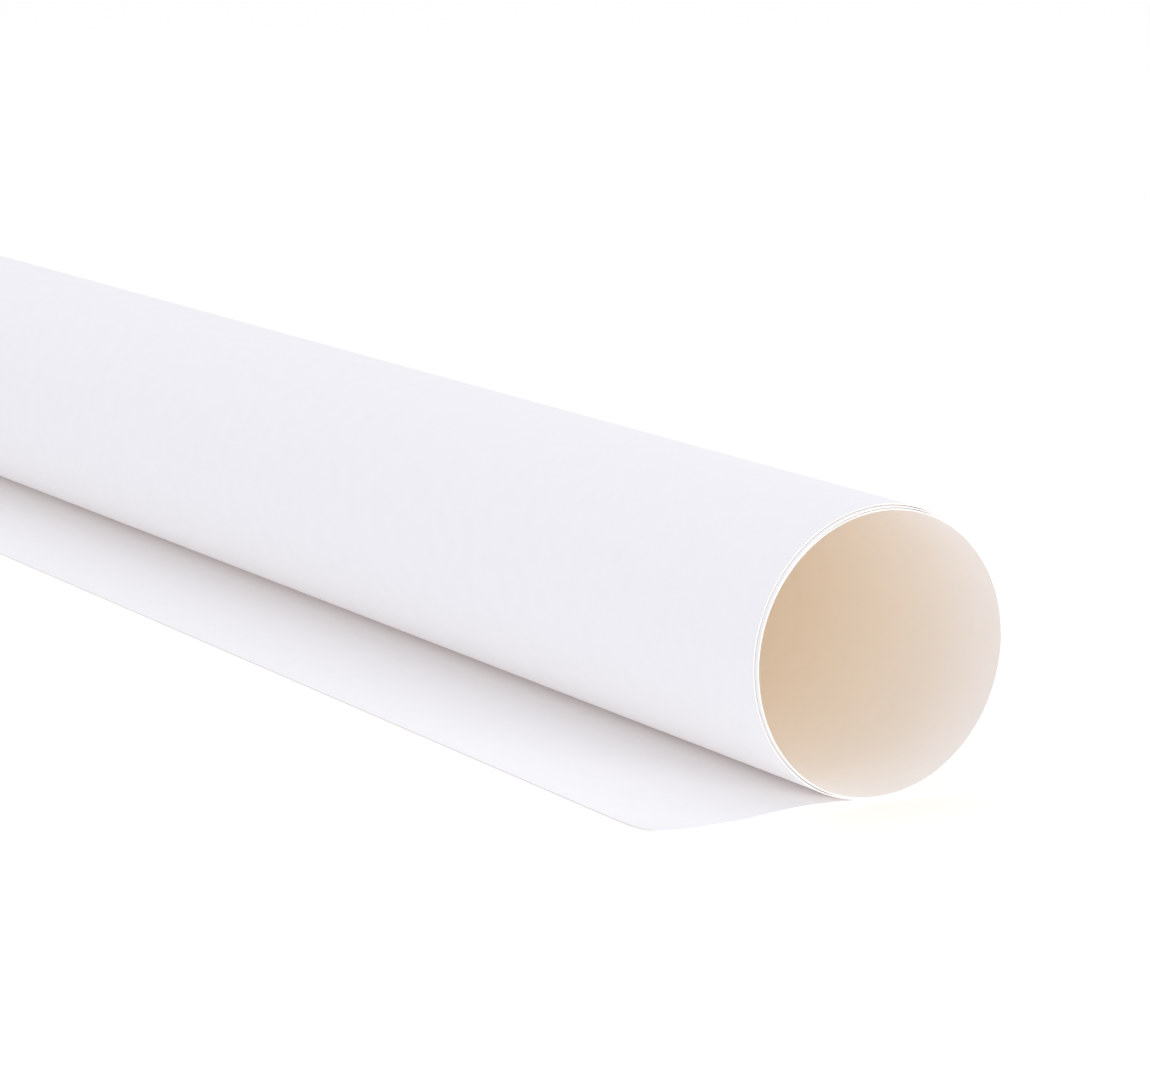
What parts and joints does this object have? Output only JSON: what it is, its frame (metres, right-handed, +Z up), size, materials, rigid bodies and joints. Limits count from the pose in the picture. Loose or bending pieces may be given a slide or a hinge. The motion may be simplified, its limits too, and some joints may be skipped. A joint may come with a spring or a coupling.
{
  "type": "backdrop paper roll",
  "caption": "Coreless hollow roll of heavy white backdrop paper, not quite three laps, with a short flat tail, that uncurls evenly along its bend lines until it lies flat.",
  "frame": {"origin": "middle of the bore, on the roll's axis, half way along the roll; the surface it stands on is z = -0.0365", "axes": "+Y along the roll, away from the end that the paper creeps out of; +Z up; the flat tail points to -X"},
  "size_m": [0.1005, 1.0037, 0.073],
  "materials": {
    "backdrop_paper": "matte"
  },
  "bodies": {
    "root": {"free_tail": "backdrop_paper"},
    "lap_1_panel_01": {"lap_1_panel_01": "backdrop_paper"},
    "lap_1_panel_02": {"lap_1_panel_02": "backdrop_paper"},
    "lap_1_panel_03": {"lap_1_panel_03": "backdrop_paper"},
    "lap_1_panel_04": {"lap_1_panel_04": "backdrop_paper"},
    "lap_1_panel_05": {"lap_1_panel_05": "backdrop_paper"},
    "lap_1_panel_06": {"lap_1_panel_06": "backdrop_paper"},
    "lap_1_panel_07": {"lap_1_panel_07": "backdrop_paper"},
    "lap_1_panel_08": {"lap_1_panel_08": "backdrop_paper"},
    "lap_1_panel_09": {"lap_1_panel_09": "backdrop_paper"},
    "lap_1_panel_10": {"lap_1_panel_10": "backdrop_paper"},
    "lap_1_panel_11": {"lap_1_panel_11": "backdrop_paper"},
    "lap_1_panel_12": {"lap_1_panel_12": "backdrop_paper"},
    "lap_2_panel_01": {"lap_2_panel_01": "backdrop_paper"},
    "lap_2_panel_02": {"lap_2_panel_02": "backdrop_paper"},
    "lap_2_panel_03": {"lap_2_panel_03": "backdrop_paper"},
    "lap_2_panel_04": {"lap_2_panel_04": "backdrop_paper"},
    "lap_2_panel_05": {"lap_2_panel_05": "backdrop_paper"},
    "lap_2_panel_06": {"lap_2_panel_06": "backdrop_paper"},
    "lap_2_panel_07": {"lap_2_panel_07": "backdrop_paper"},
    "lap_2_panel_08": {"lap_2_panel_08": "backdrop_paper"},
    "lap_2_panel_09": {"lap_2_panel_09": "backdrop_paper"},
    "lap_2_panel_10": {"lap_2_panel_10": "backdrop_paper"},
    "lap_2_panel_11": {"lap_2_panel_11": "backdrop_paper"},
    "lap_2_panel_12": {"lap_2_panel_12": "backdrop_paper"},
    "lap_3_panel_01": {"lap_3_panel_01": "backdrop_paper"},
    "lap_3_panel_02": {"lap_3_panel_02": "backdrop_paper"},
    "lap_3_panel_03": {"lap_3_panel_03": "backdrop_paper"},
    "lap_3_panel_04": {"lap_3_panel_04": "backdrop_paper"},
    "lap_3_panel_05": {"lap_3_panel_05": "backdrop_paper"},
    "lap_3_panel_06": {"lap_3_panel_06": "backdrop_paper"},
    "lap_3_panel_07": {"lap_3_panel_07": "backdrop_paper"},
    "lap_3_panel_08": {"lap_3_panel_08": "backdrop_paper"},
    "lap_3_panel_09": {"lap_3_panel_09": "backdrop_paper"},
    "lap_3_panel_10": {"lap_3_panel_10": "backdrop_paper"}
  },
  "joints": [
    {"name": "unroll", "type": "hinge", "parent": "root", "child": "lap_1_panel_01", "pos_m": [0, 0, -0.0365], "axis": [0, 1, 0], "range_deg": [0, 15]},
    {"name": "bend_02", "type": "hinge", "parent": "lap_1_panel_01", "child": "lap_1_panel_02", "pos_m": [0.01825, 0, -0.03161], "axis": [0, 1, 0], "range_deg": [0, 30]},
    {"name": "bend_03", "type": "hinge", "parent": "lap_1_panel_02", "child": "lap_1_panel_03", "pos_m": [0.03161, 0, -0.01825], "axis": [0, 1, 0], "range_deg": [0, 30]},
    {"name": "bend_04", "type": "hinge", "parent": "lap_1_panel_03", "child": "lap_1_panel_04", "pos_m": [0.0365, 0, 0], "axis": [0, 1, 0], "range_deg": [0, 30]},
    {"name": "bend_05", "type": "hinge", "parent": "lap_1_panel_04", "child": "lap_1_panel_05", "pos_m": [0.03161, 0, 0.01825], "axis": [0, 1, 0], "range_deg": [0, 30]},
    {"name": "bend_06", "type": "hinge", "parent": "lap_1_panel_05", "child": "lap_1_panel_06", "pos_m": [0.01825, 0, 0.03161], "axis": [0, 1, 0], "range_deg": [0, 30]},
    {"name": "bend_07", "type": "hinge", "parent": "lap_1_panel_06", "child": "lap_1_panel_07", "pos_m": [0, 0, 0.0365], "axis": [0, 1, 0], "range_deg": [0, 30]},
    {"name": "bend_08", "type": "hinge", "parent": "lap_1_panel_07", "child": "lap_1_panel_08", "pos_m": [-0.01825, 0, 0.03161], "axis": [0, 1, 0], "range_deg": [0, 30]},
    {"name": "bend_09", "type": "hinge", "parent": "lap_1_panel_08", "child": "lap_1_panel_09", "pos_m": [-0.03161, 0, 0.01825], "axis": [0, 1, 0], "range_deg": [0, 30]},
    {"name": "bend_10", "type": "hinge", "parent": "lap_1_panel_09", "child": "lap_1_panel_10", "pos_m": [-0.0365, 0, 0], "axis": [0, 1, 0], "range_deg": [0, 30]},
    {"name": "bend_11", "type": "hinge", "parent": "lap_1_panel_10", "child": "lap_1_panel_11", "pos_m": [-0.03161, 0, -0.01825], "axis": [0, 1, 0], "range_deg": [0, 30]},
    {"name": "bend_12", "type": "hinge", "parent": "lap_1_panel_11", "child": "lap_1_panel_12", "pos_m": [-0.01825, 0, -0.03161], "axis": [0, 1, 0], "range_deg": [0, 31.47]},
    {"name": "bend_13", "type": "hinge", "parent": "lap_1_panel_12", "child": "lap_2_panel_01", "pos_m": [0, 0, -0.036], "axis": [0, 1, 0], "range_deg": [0, 28.53]},
    {"name": "bend_14", "type": "hinge", "parent": "lap_2_panel_01", "child": "lap_2_panel_02", "pos_m": [0.018, 0, -0.03118], "axis": [0, 1, 0], "range_deg": [0, 30]},
    {"name": "bend_15", "type": "hinge", "parent": "lap_2_panel_02", "child": "lap_2_panel_03", "pos_m": [0.03118, 0, -0.018], "axis": [0, 1, 0], "range_deg": [0, 30]},
    {"name": "bend_16", "type": "hinge", "parent": "lap_2_panel_03", "child": "lap_2_panel_04", "pos_m": [0.036, 0, 0], "axis": [0, 1, 0], "range_deg": [0, 30]},
    {"name": "bend_17", "type": "hinge", "parent": "lap_2_panel_04", "child": "lap_2_panel_05", "pos_m": [0.03118, 0, 0.018], "axis": [0, 1, 0], "range_deg": [0, 30]},
    {"name": "bend_18", "type": "hinge", "parent": "lap_2_panel_05", "child": "lap_2_panel_06", "pos_m": [0.018, 0, 0.03118], "axis": [0, 1, 0], "range_deg": [0, 30]},
    {"name": "bend_19", "type": "hinge", "parent": "lap_2_panel_06", "child": "lap_2_panel_07", "pos_m": [0, 0, 0.036], "axis": [0, 1, 0], "range_deg": [0, 30]},
    {"name": "bend_20", "type": "hinge", "parent": "lap_2_panel_07", "child": "lap_2_panel_08", "pos_m": [-0.018, 0, 0.03118], "axis": [0, 1, 0], "range_deg": [0, 30]},
    {"name": "bend_21", "type": "hinge", "parent": "lap_2_panel_08", "child": "lap_2_panel_09", "pos_m": [-0.03118, 0, 0.018], "axis": [0, 1, 0], "range_deg": [0, 30]},
    {"name": "bend_22", "type": "hinge", "parent": "lap_2_panel_09", "child": "lap_2_panel_10", "pos_m": [-0.036, 0, 0], "axis": [0, 1, 0], "range_deg": [0, 30]},
    {"name": "bend_23", "type": "hinge", "parent": "lap_2_panel_10", "child": "lap_2_panel_11", "pos_m": [-0.03118, 0, -0.018], "axis": [0, 1, 0], "range_deg": [0, 30]},
    {"name": "bend_24", "type": "hinge", "parent": "lap_2_panel_11", "child": "lap_2_panel_12", "pos_m": [-0.018, 0, -0.03118], "axis": [0, 1, 0], "range_deg": [0, 31.5]},
    {"name": "bend_25", "type": "hinge", "parent": "lap_2_panel_12", "child": "lap_3_panel_01", "pos_m": [0, 0, -0.0355], "axis": [0, 1, 0], "range_deg": [0, 28.5]},
    {"name": "bend_26", "type": "hinge", "parent": "lap_3_panel_01", "child": "lap_3_panel_02", "pos_m": [0.01775, 0, -0.03074], "axis": [0, 1, 0], "range_deg": [0, 30]},
    {"name": "bend_27", "type": "hinge", "parent": "lap_3_panel_02", "child": "lap_3_panel_03", "pos_m": [0.03074, 0, -0.01775], "axis": [0, 1, 0], "range_deg": [0, 30]},
    {"name": "bend_28", "type": "hinge", "parent": "lap_3_panel_03", "child": "lap_3_panel_04", "pos_m": [0.0355, 0, 0], "axis": [0, 1, 0], "range_deg": [0, 30]},
    {"name": "bend_29", "type": "hinge", "parent": "lap_3_panel_04", "child": "lap_3_panel_05", "pos_m": [0.03074, 0, 0.01775], "axis": [0, 1, 0], "range_deg": [0, 30]},
    {"name": "bend_30", "type": "hinge", "parent": "lap_3_panel_05", "child": "lap_3_panel_06", "pos_m": [0.01775, 0, 0.03074], "axis": [0, 1, 0], "range_deg": [0, 30]},
    {"name": "bend_31", "type": "hinge", "parent": "lap_3_panel_06", "child": "lap_3_panel_07", "pos_m": [0, 0, 0.0355], "axis": [0, 1, 0], "range_deg": [0, 30]},
    {"name": "bend_32", "type": "hinge", "parent": "lap_3_panel_07", "child": "lap_3_panel_08", "pos_m": [-0.01775, 0, 0.03074], "axis": [0, 1, 0], "range_deg": [0, 30]},
    {"name": "bend_33", "type": "hinge", "parent": "lap_3_panel_08", "child": "lap_3_panel_09", "pos_m": [-0.03074, 0, 0.01775], "axis": [0, 1, 0], "range_deg": [0, 30]},
    {"name": "bend_34", "type": "hinge", "parent": "lap_3_panel_09", "child": "lap_3_panel_10", "pos_m": [-0.0355, 0, 0], "axis": [0, 1, 0], "range_deg": [0, 27.78]}
  ],
  "couplings": [
    {"joint": "bend_02", "follows": "unroll", "ratio": 2},
    {"joint": "bend_03", "follows": "unroll", "ratio": 2},
    {"joint": "bend_04", "follows": "unroll", "ratio": 2},
    {"joint": "bend_05", "follows": "unroll", "ratio": 2},
    {"joint": "bend_06", "follows": "unroll", "ratio": 2},
    {"joint": "bend_07", "follows": "unroll", "ratio": 2},
    {"joint": "bend_08", "follows": "unroll", "ratio": 2},
    {"joint": "bend_09", "follows": "unroll", "ratio": 2},
    {"joint": "bend_10", "follows": "unroll", "ratio": 2},
    {"joint": "bend_11", "follows": "unroll", "ratio": 2},
    {"joint": "bend_12", "follows": "unroll", "ratio": 2.0983},
    {"joint": "bend_13", "follows": "unroll", "ratio": 1.9017},
    {"joint": "bend_14", "follows": "unroll", "ratio": 2},
    {"joint": "bend_15", "follows": "unroll", "ratio": 2},
    {"joint": "bend_16", "follows": "unroll", "ratio": 2},
    {"joint": "bend_17", "follows": "unroll", "ratio": 2},
    {"joint": "bend_18", "follows": "unroll", "ratio": 2},
    {"joint": "bend_19", "follows": "unroll", "ratio": 2},
    {"joint": "bend_20", "follows": "unroll", "ratio": 2},
    {"joint": "bend_21", "follows": "unroll", "ratio": 2},
    {"joint": "bend_22", "follows": "unroll", "ratio": 2},
    {"joint": "bend_23", "follows": "unroll", "ratio": 2},
    {"joint": "bend_24", "follows": "unroll", "ratio": 2.0997},
    {"joint": "bend_25", "follows": "unroll", "ratio": 1.9003},
    {"joint": "bend_26", "follows": "unroll", "ratio": 2},
    {"joint": "bend_27", "follows": "unroll", "ratio": 2},
    {"joint": "bend_28", "follows": "unroll", "ratio": 2},
    {"joint": "bend_29", "follows": "unroll", "ratio": 2},
    {"joint": "bend_30", "follows": "unroll", "ratio": 2},
    {"joint": "bend_31", "follows": "unroll", "ratio": 2},
    {"joint": "bend_32", "follows": "unroll", "ratio": 2},
    {"joint": "bend_33", "follows": "unroll", "ratio": 2},
    {"joint": "bend_34", "follows": "unroll", "ratio": 1.8521}
  ]
}
